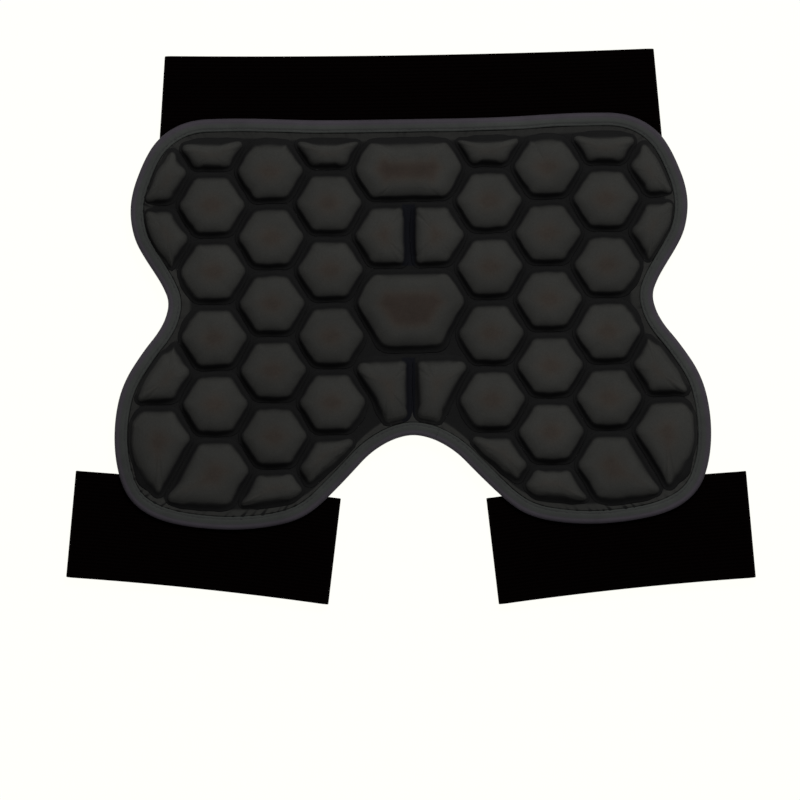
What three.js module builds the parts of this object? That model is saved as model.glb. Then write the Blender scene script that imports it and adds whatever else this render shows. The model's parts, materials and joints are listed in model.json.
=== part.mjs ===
// A tailbone protector lying flat: a butterfly-shaped padded panel with raised foam pads in a honeycomb,
// a sewn edge binding, and three elastic loops behind it, one for the waist and one for each thigh.
// Millimetres, +Z up, the padded face up. The origin is the middle of the footprint, on the surface below.
import * as THREE from 'three';

// Panel sizes
const panelWidth = 400; // across the two lower lobes
const panelHeight = 273; // from the top edge to the bottom of the lobes
const panelShift = -0.9; // the panel lies this far off the middle between the thigh loops
const panelTurn = 0.95; // degrees anticlockwise that the panel lies turned on its loops
const slabThickness = 4; // lining, foam base and cover at the grooves
const lipThickness = 2.4; // the slab's edge, pressed thin inside the binding
const outlineSteps = 112; // straight stretches round the outline

// Edge binding sizes
const bindingWidth = 8.2; // how far the tape reaches in over the panel, above and below
const tapeThickness = 1;
const bindingRound = 1.1; // bevel of the folded edge

// Raised pad sizes
const rowsInHeight = 6.12; // rows of pads that the panel's height would hold
const columnsInWidth = 10.18; // columns of pads that the panel's width would hold
const middleColumns = 1.37; // from the middle line to the nearest whole column, in columns
const latticeRise = 0.3; // the lattice's middle row lies this many rows above the panel's middle
const grooveWidth = 5; // between the feet of two pads
const padHeight = 10.4; // from the groove floor to the middle of a pad's crown
const padShoulder = 3.4; // how far in the rounded shoulder ends
const edgeSlope = 1.7; // a pad's wall beside the binding leans in this many times as far
const cornerSharpness = 14; // a higher power gives tighter corners
const padMargin = 14; // usual flat border between the outline and the pads
const seamWidth = 7.6; // between the two halves of a split middle pad
const facetLength = 7.6; // about the length of one straight stretch round a pad
const leastReach = 0.1; // from a pad's middle to a wall, so that narrow pads keep their form
const smallestPad = 0.1; // a cut pad under this share of a whole cell is left out

// Elastic sizes
const elasticThickness = 1.8;
const elasticWidth = 72; // the width of the webbing
const loopGap = 5.2; // between the two walls of a loop that lies flat
const waistLength = 327.3; // of the flattened loop along its upper edge
const waistFlare = 4.6; // degrees that each folded end leans outwards, going down
const waistSag = 2; // dip of the upper edge in the middle
const waistShift = -1.5; // off the middle between the thigh loops
const waistShows = 44.7; // how much of the webbing shows above the panel
const waistTurn = 0.9; // degrees anticlockwise
const thighLength = 175.8; // of a flattened thigh loop along its upper edge
const thighFlare = -0.8; // degrees that each folded end leans outwards, going down
const thighSag = 1.6;
const thighSpread = 0.705; // from the middle to a thigh loop's middle, in half panel widths
const thighShows = 45.1; // how much of the webbing shows below the panel
const thighTurn = 6; // degrees that the outer end is raised
const straightSteps = 8; // straight stretches along each wall of a loop
const foldSteps = 6; // straight stretches round each folded end

const clearance = 0.3; // between pieces that touch

// Half of the panel's outline, from the middle of the top edge down to the middle of the arch.
// across and up are shares of half the panel's width and height, margin is a share of padMargin.
const OUTLINE = [
  { at: 'top middle', across: 0, up: 0.993, margin: 1.1 },
  { at: 'top', across: 0.3, up: 0.995, margin: 1.1 },
  { at: 'top outer', across: 0.6, up: 1.01, margin: 1.15 },
  { at: 'upper corner start', across: 0.745, up: 0.996, margin: 1.1 },
  { at: 'upper corner', across: 0.842, up: 0.91, margin: 0.85 },
  { at: 'upper lobe high', across: 0.904, up: 0.75, margin: 0.7 },
  { at: 'upper lobe', across: 0.935, up: 0.59, margin: 0.68 },
  { at: 'upper lobe low', across: 0.92, up: 0.42, margin: 0.7 },
  { at: 'waist above', across: 0.857, up: 0.26, margin: 0.75 },
  { at: 'waist', across: 0.809, up: 0.12, margin: 0.9 },
  { at: 'waist below', across: 0.832, up: 0, margin: 0.95 },
  { at: 'lower lobe high', across: 0.905, up: -0.14, margin: 0.95 },
  { at: 'lower lobe bulge', across: 0.971, up: -0.3, margin: 0.9 },
  { at: 'lower lobe', across: 1, up: -0.5, margin: 0.78 },
  { at: 'lower lobe low', across: 0.993, up: -0.7, margin: 0.78 },
  { at: 'lower corner', across: 0.955, up: -0.85, margin: 0.9 },
  { at: 'lower corner foot', across: 0.87, up: -0.945, margin: 1 },
  { at: 'lobe foot', across: 0.68, up: -1.003, margin: 1.1 },
  { at: 'lobe foot inner', across: 0.49, up: -0.997, margin: 1.15 },
  { at: 'inner corner', across: 0.365, up: -0.945, margin: 1.05 },
  { at: 'arch side', across: 0.235, up: -0.777, margin: 1 },
  { at: 'arch', across: 0.125, up: -0.62, margin: 0.9 },
  { at: 'arch middle', across: 0, up: -0.553, margin: 0.85 },
];

// Walls that differ from the plain honeycomb. Level counts half rows down from the top of the lattice.
// reach is a share of the usual distance to that wall, and an open wall runs on to the panel's border.
const OPEN = Infinity;
const CHANGED_WALLS = [
  { column: 0, level: 5, wall: 'bottom', reach: 1.56 },
  { column: 0, level: 7, wall: 'top', reach: 0.25 },
  { column: 0, level: 7, wall: 'bottom', reach: OPEN },
  { column: 3, level: 10, wall: 'outerBottom', reach: OPEN },
  { column: 3, level: 10, wall: 'bottom', reach: OPEN },
  { column: 4, level: 9, wall: 'bottom', reach: OPEN },
];
const SPLIT_LEVELS = [3, 7]; // middle pads that a seam divides
const LAST_LEVELS = [7, 11, 11, 11, 9]; // the lowest pad of each column
const MIDDLE_LEVEL = 5;
const LEFT = -1;
const RIGHT = 1;

// A pad's side from its foot to the rim of its crown, as shares of padShoulder and padHeight
const PAD_PROFILE = [
  { at: 'foot', inset: 0, height: 0 },
  { at: 'top of the steep wall', inset: 0.3, height: 0.7 },
  { at: 'shoulder', inset: 1, height: 0.93 },
];

// The thigh loops lie stretched a little differently. length is a share of thighLength.
const THIGH_LOOPS = [
  { name: 'left_thigh_loop', side: LEFT, length: 1.01 },
  { name: 'right_thigh_loop', side: RIGHT, length: 0.99 },
];

const rowPitch = panelHeight / rowsInHeight;
const columnPitch = panelWidth / columnsInWidth;
const firstColumn = middleColumns * columnPitch;
const slant = THREE.MathUtils.radToDeg(Math.atan2(rowPitch / 2, columnPitch));
const levelReach = (rowPitch - grooveWidth) / 2; // from a pad's middle to its level walls
const slantReach = (Math.hypot(rowPitch / 2, columnPitch) - grooveWidth) / 2;
const middleStretch = (firstColumn - columnPitch) * Math.cos(THREE.MathUtils.degToRad(slant));

// The six walls of a honeycomb cell, by the direction that each faces, in degrees, and how far
// each lies from the cell's middle. The pads on the middle line are wider than the others.
const WALLS = [
  { wall: 'top', facing: 90, reach: levelReach, middleReach: levelReach },
  { wall: 'outerTop', facing: slant, reach: slantReach, middleReach: slantReach + middleStretch },
  { wall: 'outerBottom', facing: -slant, reach: slantReach, middleReach: slantReach + middleStretch },
  { wall: 'bottom', facing: -90, reach: levelReach, middleReach: levelReach },
  { wall: 'innerBottom', facing: slant - 180, reach: slantReach, middleReach: slantReach + middleStretch },
  { wall: 'innerTop', facing: 180 - slant, reach: slantReach, middleReach: slantReach + middleStretch },
];

const loopHeight = loopGap + 2 * elasticThickness;
const panelBottom = loopHeight + clearance;
const padBottom = panelBottom + slabThickness + clearance;

// Plane geometry

function closedOutline() {
  const half = OUTLINE.map((row) => new THREE.Vector3(
    row.across * panelWidth / 2, row.up * panelHeight / 2, row.margin * padMargin));
  const mirrored = half.slice(1, -1).map((p) => new THREE.Vector3(-p.x, p.y, p.z));
  const curve = new THREE.CatmullRomCurve3([...half.reverse(), ...mirrored], true, 'centripetal');
  return curve.getSpacedPoints(outlineSteps).slice(0, -1);
}

// The outline drawn in by a distance, or by each point's own margin where no distance is given
function insetOutline(outline, distance) {
  const count = outline.length;
  return outline.map((point, i) => {
    const along = outline[(i + 1) % count].clone().sub(outline[(i + count - 1) % count]);
    const inwards = new THREE.Vector2(-along.y, along.x).normalize();
    return new THREE.Vector2(point.x, point.y).addScaledVector(inwards, distance ?? point.z);
  });
}

function wallOf(facing, reach) {
  const angle = THREE.MathUtils.degToRad(facing);
  return { normal: new THREE.Vector2(Math.cos(angle), Math.sin(angle)), reach };
}

// Keeps the part of a polygon that lies behind one wall of a cell
function clipByWall(polygon, centre, wall) {
  const kept = [];
  const ahead = (p) => p.clone().sub(centre).dot(wall.normal) - wall.reach;
  polygon.forEach((p, i) => {
    const q = polygon[(i + 1) % polygon.length];
    const [a, b] = [ahead(p), ahead(q)];
    if (a <= 0) kept.push(p);
    if (a * b < 0) kept.push(p.clone().lerp(q, a / (a - b)));
  });
  return kept;
}

function areaAndMiddle(polygon) {
  let area = 0;
  const middle = new THREE.Vector2();
  polygon.forEach((p, i) => {
    const q = polygon[(i + 1) % polygon.length];
    const cross = p.cross(q) / 2;
    area += cross;
    middle.addScaledVector(p.clone().add(q), cross / 3);
  });
  return { area: Math.abs(area), middle: middle.divideScalar(area) };
}

// Distance from a point along a direction to the border, and how squarely the border is met there
function borderAhead(border, from, direction) {
  let nearest = { distance: Infinity, squareness: 1 };
  border.forEach((p, i) => {
    const side = border[(i + 1) % border.length].clone().sub(p);
    const across = direction.cross(side);
    const toSide = p.clone().sub(from);
    const distance = toSide.cross(side) / across;
    const share = toSide.cross(direction) / across;
    if (distance > 0 && Math.abs(share - 0.5) < 0.5001 && distance < nearest.distance) {
      nearest = { distance, squareness: Math.abs(across) / side.length() };
    }
  });
  return nearest;
}

// Raised pads

function cellWalls(column, level) {
  return WALLS.map(({ wall, facing, reach, middleReach }) => {
    const changed = CHANGED_WALLS.find((row) => row.wall === wall && row.level === level
      && row.column === column);
    return wallOf(facing, (column === 0 ? middleReach : reach) * (changed?.reach ?? 1));
  });
}

// The pad's shape drawn in by a distance: every wall's distance in each direction, blended so that the
// corners are rounded. directions holds one unit vector for each point.
function padRing(pad, inset) {
  return pad.directions.map((direction) => {
    let sum = 0;
    for (const wall of pad.walls) {
      const facing = direction.dot(wall.normal);
      if (facing > 0) sum += (facing / Math.max(wall.reach - inset, leastReach)) ** cornerSharpness;
    }
    const { distance, squareness } = borderAhead(pad.border, pad.middle, direction);
    const reach = Math.max(distance * squareness - inset * edgeSlope, leastReach);
    sum += (squareness / reach) ** cornerSharpness;
    return direction.clone().multiplyScalar(sum ** (-1 / cornerSharpness)).add(pad.middle);
  });
}

function directionsRound(polygon, middle) {
  return polygon.flatMap((p, i) => {
    const q = polygon[(i + 1) % polygon.length];
    const steps = Math.max(1, Math.round(p.distanceTo(q) / facetLength));
    return Array.from({ length: steps }, (_, k) => p.clone().lerp(q, k / steps).sub(middle).normalize());
  });
}

function planPad(column, level, side, border, extraWalls = []) {
  const centre = new THREE.Vector2(
    column === 0 ? 0 : side * (firstColumn + (column - 1) * columnPitch),
    (latticeRise + (MIDDLE_LEVEL - level) / 2) * rowPitch);
  const walls = [...cellWalls(column, level), ...extraWalls].map(({ normal, reach }) => ({
    normal: new THREE.Vector2(normal.x * side, normal.y), reach }));
  const polygon = walls.filter((wall) => wall.reach < OPEN)
    .reduce((shape, wall) => clipByWall(shape, centre, wall), border);
  if (polygon.length < 3) return null;
  const { area, middle } = areaAndMiddle(polygon);
  const offset = middle.clone().sub(centre);
  return {
    area,
    middle,
    border,
    walls: walls.map(({ normal, reach }) => ({ normal, reach: reach - offset.dot(normal) })),
    directions: directionsRound(polygon, middle),
  };
}

function planPads(border) {
  const wholeArea = rowPitch * columnPitch;
  const pads = [];
  LAST_LEVELS.forEach((lastLevel, column) => {
    for (let level = (column + 1) % 2; level <= lastLevel; level += 2) {
      const split = column === 0 && SPLIT_LEVELS.includes(level);
      const sides = column === 0 && !split ? [RIGHT] : [LEFT, RIGHT];
      for (const side of sides) {
        const seam = split ? [wallOf(180, -seamWidth / 2)] : [];
        const pad = planPad(column, level, side, border, seam);
        if (!pad || pad.area < smallestPad * wholeArea) continue;
        const sideName = sides.length === 1 ? 'middle' : side === LEFT ? 'left' : 'right';
        pads.push({ ...pad, name: `pad_${sideName}_column${column}_level${level}` });
      }
    }
  });
  return pads;
}

// Solids

const ringAt = (points, z) => points.map((p) => new THREE.Vector3(p.x, p.y, z));

function geometryOf(vertices, triangles) {
  const geometry = new THREE.BufferGeometry().setFromPoints(vertices);
  geometry.setIndex(triangles);
  return geometry;
}

// The faces between rings of equally many points that stand one above the other
function wallTriangles(ringCount, count) {
  const triangles = [];
  for (let r = 0; r + 1 < ringCount; r += 1) {
    for (let i = 0; i < count; i += 1) {
      const [a, b] = [r * count + i, r * count + (i + 1) % count];
      triangles.push(a, b, b + count, a, b + count, a + count);
    }
  }
  return triangles;
}

// A mound through rings, closed by a point in the middle of its foot and one in the middle of its crown
function moundSolid(rings, foot, crown) {
  const count = rings[0].length;
  const vertices = [...rings.flat(), foot, crown];
  const crownIndex = vertices.length - 1;
  const lastRing = (rings.length - 1) * count;
  const triangles = wallTriangles(rings.length, count);
  for (let i = 0; i < count; i += 1) {
    const next = (i + 1) % count;
    triangles.push(lastRing + i, lastRing + next, crownIndex, next, i, crownIndex - 1);
  }
  return geometryOf(vertices, triangles);
}

// A plate through rings, closed by flat faces below and above
function plateSolid(rings) {
  const count = rings[0].length;
  const lastRing = (rings.length - 1) * count;
  const flatFaces = (ring) => THREE.ShapeUtils.triangulateShape(
    ring.map((p) => new THREE.Vector2(p.x, p.y)), []);
  const below = flatFaces(rings[0]).flatMap(([a, b, c]) => [c, b, a]);
  const above = flatFaces(rings.at(-1)).flat().map((index) => lastRing + index);
  return geometryOf(rings.flat(), [...wallTriangles(rings.length, count), ...below, ...above]);
}

// A closed band: the same section at every station of a loop, joined to the next one
function bandSolid(stations) {
  const count = stations[0].length;
  const triangles = stations.flatMap((_, s) => {
    const next = (s + 1) % stations.length;
    return stations[0].flatMap((__, i) => {
      const j = (i + 1) % count;
      const [a, b, c, d] = [s * count + i, s * count + j, next * count + j, next * count + i];
      return [a, b, c, a, c, d];
    });
  });
  return geometryOf(stations.flat(), triangles);
}

// The slab lies flush with the binding's underside, and its thin lip reaches into the folded tape
function panelGeometry(outline) {
  const slabInset = bindingWidth + clearance;
  const lipInset = tapeThickness + clearance;
  const lipBottom = panelBottom + tapeThickness + clearance;
  const section = [
    { inset: slabInset, z: panelBottom },
    { inset: slabInset, z: lipBottom },
    { inset: lipInset, z: lipBottom },
    { inset: lipInset, z: lipBottom + lipThickness },
    { inset: slabInset, z: lipBottom + lipThickness },
    { inset: slabInset, z: panelBottom + slabThickness },
  ];
  return plateSolid(section.map(({ inset, z }) => ringAt(insetOutline(outline, inset), z)));
}

function bindingGeometry(outline) {
  const top = panelBottom + lipThickness + 2 * (tapeThickness + clearance);
  const section = [
    { inset: bindingWidth, z: top },
    { inset: bindingRound, z: top },
    { inset: 0, z: top - bindingRound },
    { inset: 0, z: panelBottom + bindingRound },
    { inset: bindingRound, z: panelBottom },
    { inset: bindingWidth, z: panelBottom },
    { inset: bindingWidth, z: panelBottom + tapeThickness },
    { inset: tapeThickness, z: panelBottom + tapeThickness },
    { inset: tapeThickness, z: top - tapeThickness },
    { inset: bindingWidth, z: top - tapeThickness },
  ];
  const rings = section.map(({ inset, z }) => ringAt(insetOutline(outline, inset), z));
  return bandSolid(outline.map((_, i) => rings.map((ring) => ring[i])));
}

function padGeometry(pad) {
  const rings = PAD_PROFILE.map(({ inset, height }) =>
    ringAt(padRing(pad, inset * padShoulder), padBottom + height * padHeight));
  const [foot] = ringAt([pad.middle], padBottom);
  const [crown] = ringAt([pad.middle], padBottom + padHeight);
  return moundSolid(rings, foot, crown);
}

// One loop of elastic lying flat: two walls and two round folds. x runs along it and y across the webbing.
function loopGeometry({ length, flare, sag }) {
  const foldRadius = loopHeight / 2;
  const straight = length / 2 - foldRadius;
  const path = new THREE.Path();
  path.absarc(straight, foldRadius, foldRadius, -Math.PI / 2, Math.PI / 2);
  path.absarc(-straight, foldRadius, foldRadius, Math.PI / 2, 1.5 * Math.PI);
  const [rightFold, leftFold] = path.curves.filter((curve) => curve.isEllipseCurve)
    .map((curve) => curve.getPoints(foldSteps));
  const walls = [[rightFold.at(-1), leftFold[0]], [leftFold.at(-1), rightFold[0]]]
    .map(([from, to]) => Array.from({ length: straightSteps - 1 }, (_, k) =>
      from.clone().lerp(to, (k + 1) / straightSteps)));
  const line = [...rightFold, ...walls[0], ...leftFold, ...walls[1]];
  const flareShare = Math.tan(THREE.MathUtils.degToRad(flare)) / (length / 2);
  return bandSolid(line.map((point) => {
    const heart = new THREE.Vector2(THREE.MathUtils.clamp(point.x, -straight, straight), foldRadius);
    const depth = new THREE.Vector2(0, point.y > foldRadius ? 1 : -1);
    const outwards = Math.abs(point.x) > straight ? point.clone().sub(heart).normalize() : depth;
    const inner = point.clone().addScaledVector(outwards, -elasticThickness);
    const at = ({ x, y: z }, across) => {
      const dip = sag * ((2 * point.x / length) ** 2 - 1);
      const spread = 1 + flareShare * (elasticWidth / 2 - across);
      return new THREE.Vector3(x * spread, across + dip, z);
    };
    const edge = elasticWidth / 2;
    return [at(point, -edge), at(point, edge), at(inner, edge), at(inner, -edge)];
  }));
}

// Materials

const coverFabric = new THREE.MeshStandardMaterial({ color: '#32302d', roughness: 0.82 });
const bindingTape = new THREE.MeshStandardMaterial({ color: '#3a3a38', roughness: 0.75 });
const blackElastic = new THREE.MeshStandardMaterial({ color: '#060505', roughness: 0.9 });

function named(name, geometry, material) {
  const mesh = new THREE.Mesh(geometry, material);
  mesh.name = name;
  return mesh;
}

// Assembly

function paddedPanel() {
  const group = new THREE.Group();
  const outline = closedOutline();
  group.add(named('padded_panel', panelGeometry(outline), coverFabric));
  group.add(named('edge_binding', bindingGeometry(outline), bindingTape));
  for (const pad of planPads(insetOutline(outline))) {
    group.add(named(pad.name, padGeometry(pad), coverFabric));
  }
  group.rotation.z = THREE.MathUtils.degToRad(panelTurn);
  group.position.x = panelShift;
  return group;
}

function elasticLoop(name, shape, x, y, turn) {
  const loop = named(name, loopGeometry(shape), blackElastic);
  loop.position.set(x, y, 0);
  loop.rotation.z = THREE.MathUtils.degToRad(turn);
  return loop;
}

const protector = new THREE.Group();
protector.add(paddedPanel());
protector.add(elasticLoop('waist_loop', { length: waistLength, flare: waistFlare, sag: waistSag },
  waistShift, (panelHeight - elasticWidth) / 2 + waistShows, waistTurn));
for (const { name, side, length } of THIGH_LOOPS) {
  protector.add(elasticLoop(name, { length: length * thighLength, flare: thighFlare, sag: -thighSag },
    side * thighSpread * panelWidth / 2, (elasticWidth - panelHeight) / 2 - thighShows, side * thighTurn));
}

// The whole is set down in the middle of its footprint
protector.updateMatrixWorld(true);
const middleOfAll = new THREE.Box3().setFromObject(protector, true).getCenter(new THREE.Vector3());
protector.position.set(-middleOfAll.x, -middleOfAll.y, 0);

export default protector;
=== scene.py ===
"""A tailbone protector lying flat on white, dressed over its CAD frame.

The panel's cover is a knit moulded over foam: fifty crowned pads in a honeycomb, with narrow grooves
between them. A folded tape binds the edge, and three flattened loops of black ribbed elastic lie
behind it. Every piece is read from the frame's own solids, rounded, and given its fabric.
"""

from __future__ import annotations

import json
import logging
from collections.abc import Sequence
from dataclasses import dataclass, field
from enum import Enum
from typing import NamedTuple

import bpy
import numpy as np
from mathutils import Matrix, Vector
from numpy.typing import NDArray

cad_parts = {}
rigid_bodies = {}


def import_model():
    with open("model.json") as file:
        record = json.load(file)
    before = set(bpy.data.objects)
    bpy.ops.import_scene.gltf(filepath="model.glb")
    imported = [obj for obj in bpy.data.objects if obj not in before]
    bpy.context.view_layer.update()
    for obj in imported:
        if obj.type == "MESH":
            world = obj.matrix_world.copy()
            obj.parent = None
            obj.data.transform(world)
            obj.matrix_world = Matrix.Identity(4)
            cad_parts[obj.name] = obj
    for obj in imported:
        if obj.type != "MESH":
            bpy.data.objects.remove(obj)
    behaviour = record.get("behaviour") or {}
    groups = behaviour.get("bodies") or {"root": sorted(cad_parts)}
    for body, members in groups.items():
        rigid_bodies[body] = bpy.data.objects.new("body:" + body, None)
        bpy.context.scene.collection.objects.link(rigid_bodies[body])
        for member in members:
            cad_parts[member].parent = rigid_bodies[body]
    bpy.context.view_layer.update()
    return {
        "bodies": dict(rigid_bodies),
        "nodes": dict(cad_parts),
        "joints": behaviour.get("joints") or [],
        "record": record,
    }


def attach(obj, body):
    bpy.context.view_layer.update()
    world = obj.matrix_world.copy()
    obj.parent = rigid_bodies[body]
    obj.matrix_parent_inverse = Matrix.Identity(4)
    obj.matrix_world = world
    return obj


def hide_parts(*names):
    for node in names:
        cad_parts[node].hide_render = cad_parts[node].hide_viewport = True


Array = NDArray[np.float64]
Colour = tuple[float, float, float, float]
Nodes = dict[str, bpy.types.Object]
Settings = dict[str | int, object]
Tree = bpy.types.NodeTree
Socket = bpy.types.NodeSocket

LOG = logging.getLogger("protector")
MM = 0.001
BODY = "root"
SAME_LEVEL = 0.02 * MM
SLOT_MIDDLE = -1.6 * MM  # the upright slots between the middle pads run along this line


class Slot(Enum):
    """The record's material slots."""

    COVER = "cover_fabric"
    BINDING = "binding_tape"
    ELASTIC = "elastic_webbing"


class Fade(Enum):
    """How one colour gives way to the next."""

    EVEN = "LINEAR"
    SOFT = "SMOOTHSTEP"


# Plane curves and surfaces


def vertices_of(node: bpy.types.Object) -> Array:
    """Read each different vertex of a CAD node once, in metres.

    Args:
        node: the CAD node's object, whose place is in its mesh.

    Returns:
        An array of points (n, 3).
    """
    flat = np.empty(len(node.data.vertices) * 3, dtype=np.float32)
    node.data.vertices.foreach_get("co", flat)
    return np.unique(flat.reshape(-1, 3).astype(np.float64).round(6), axis=0)


def level_ring(points: Array, height: float, middle: Array, start: float = 0.0) -> Array:
    """Put the points of one height in order round a middle, leaving out the middle itself.

    The order is by the angle about the middle, counted on from the start angle.

    Args:
        points: vertices (n, 3).
        height: the level to pick out.
        middle: the point (2,) that the ring goes round.
        start: the angle that the ring starts at.

    Returns:
        The ring (m, 2), anticlockwise.
    """
    arms = points[np.abs(points[:, 2] - height) < SAME_LEVEL][:, :2] - middle
    length = np.hypot(arms[:, 0], arms[:, 1])
    arms = arms[length > 0.25 * np.median(length)]
    turn = np.mod(np.arctan2(arms[:, 1], arms[:, 0]) - start, 2 * np.pi)
    return middle + arms[np.argsort(turn)]


def round_off(rings: Array, rounds: int = 2) -> Array:
    """Cut the corners of closed rings: each point gives way to two, a quarter along its sides.

    Args:
        rings: rings (k, n, 2) that share their order.
        rounds: how many times the corners are cut.

    Returns:
        Rounder rings (k, n * 2 ** rounds, 2).
    """
    for _ in range(rounds):
        after = np.roll(rings, -1, axis=1)
        pairs = np.stack([0.75 * rings + 0.25 * after, 0.25 * rings + 0.75 * after], axis=2)
        rings = pairs.reshape(len(rings), -1, rings.shape[-1])
    return rings


def lengths_along(line: Array) -> Array:
    """Distance of each point of a line from its first point, along the line: (n,)."""
    steps = np.linalg.norm(np.diff(line, axis=0), axis=1)
    return np.concatenate([[0.0], np.cumsum(steps)])


def respace(rings: Array, count: int) -> Array:
    """Set closed rings on new points that are evenly spaced along the first ring.

    Args:
        rings: rings (k, n, 2) that share their order.
        count: how many points each new ring has.

    Returns:
        Rings (k, count, 2). The others follow the first ring's spacing, so columns stay in line.
    """
    closed = np.concatenate([rings, rings[:, :1]], axis=1)
    along = lengths_along(closed[0])
    wanted = np.linspace(0.0, along[-1], count, endpoint=False)
    spread = [[np.interp(wanted, along, ring[:, axis]) for axis in (0, 1)] for ring in closed]
    return np.moveaxis(np.array(spread), 1, 2)


def outward_normals(ring: Array) -> Array:
    """Unit normals of a ring: the chord past each point, turned outwards.

    Args:
        ring: points (n, 2), anticlockwise.

    Returns:
        Normals (n, 2).
    """
    chord = np.roll(ring, -1, axis=0) - np.roll(ring, 1, axis=0)
    normal = np.stack([chord[:, 1], -chord[:, 0]], axis=1)
    return normal / np.linalg.norm(normal, axis=1, keepdims=True)


def perimeter(ring: Array) -> float:
    """Length of a closed ring."""
    return float(np.linalg.norm(np.roll(ring, -1, axis=0) - ring, axis=1).sum())


def distance_to(points: Array, others: Array) -> Array:
    """Distance of each point (..., 2) from the nearest of the others (m, 2)."""
    return np.linalg.norm(points[..., None, :] - others, axis=-1).min(axis=-1)


def bend(start: Array, corner: Array, end: Array, rows: int) -> Array:
    """Rows (rows, n, 3) of the curve (1 - t) ** 2 start + 2 t (1 - t) corner + t ** 2 end, t below 1."""
    t = np.linspace(0.0, 1.0, rows, endpoint=False)[:, None, None]
    return (1 - t) ** 2 * start + 2 * t * (1 - t) * corner + t**2 * end


def calm(values: Array, reach: int) -> Array:
    """The mean over each point of a closed ring and as many neighbours as the reach on both sides."""
    return np.mean([np.roll(values, k, axis=0) for k in range(-reach, reach + 1)], axis=0)


def soft_noise(place: Array, wavelength: float, seed: int, waves: int = 9) -> Array:
    """A soft random surface, about -1 to 1: the mean of plane waves with seeded turns and phases.

    Args:
        place: points (..., 2 or 3), of which the first two numbers count.
        wavelength: the usual distance between two crests, in metres.
        seed: picks the surface.
        waves: how many waves are added.

    Returns:
        Heights (...).
    """
    rng = np.random.default_rng(seed)
    turn = rng.uniform(0, 2 * np.pi, waves)
    pull = 2 * np.pi / (wavelength * rng.uniform(0.7, 1.5, waves))
    phase = rng.uniform(0, 2 * np.pi, waves)
    reach = place[..., 0, None] * np.cos(turn) + place[..., 1, None] * np.sin(turn)
    return np.sin(reach * pull + phase).sum(axis=-1) * 1.6 / waves


def lift(flat: Array, height: Array | float) -> Array:
    """Give flat points (..., 2) a height, the same for all or one for each: (..., 3)."""
    return np.concatenate([flat, np.broadcast_to(height, flat.shape[:-1])[..., None]], axis=-1)


def quad_strip(rows: int, columns: int, closed_rows: bool = False) -> Array:
    """Corners of the faces of a grid whose columns close on themselves.

    Args:
        rows: how many rings of points there are.
        columns: how many points each ring has.
        closed_rows: whether the last ring joins the first.

    Returns:
        Vertex numbers (faces, 4), facing outwards where the rings run anticlockwise and upwards.
    """
    row = np.arange(rows if closed_rows else rows - 1)[:, None]
    column = np.arange(columns)[None, :]
    above, beside = (row + 1) % rows, (column + 1) % columns
    corners = [row * columns + column, row * columns + beside, above * columns + beside,
               above * columns + column]
    return np.stack(corners, axis=-1).reshape(-1, 4)


def fan(ring_start: int, columns: int, tip: int, upwards: bool) -> Array:
    """Triangles from a ring of points to one tip.

    Args:
        ring_start: number of the ring's first vertex.
        columns: how many points the ring has.
        tip: number of the tip's vertex.
        upwards: whether they face up, for an anticlockwise ring.

    Returns:
        Vertex numbers (columns, 3).
    """
    column = np.arange(columns)
    first, second = ring_start + column, ring_start + (column + 1) % columns
    pair = (first, second) if upwards else (second, first)
    return np.column_stack([*pair, np.full(columns, tip)])


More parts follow.
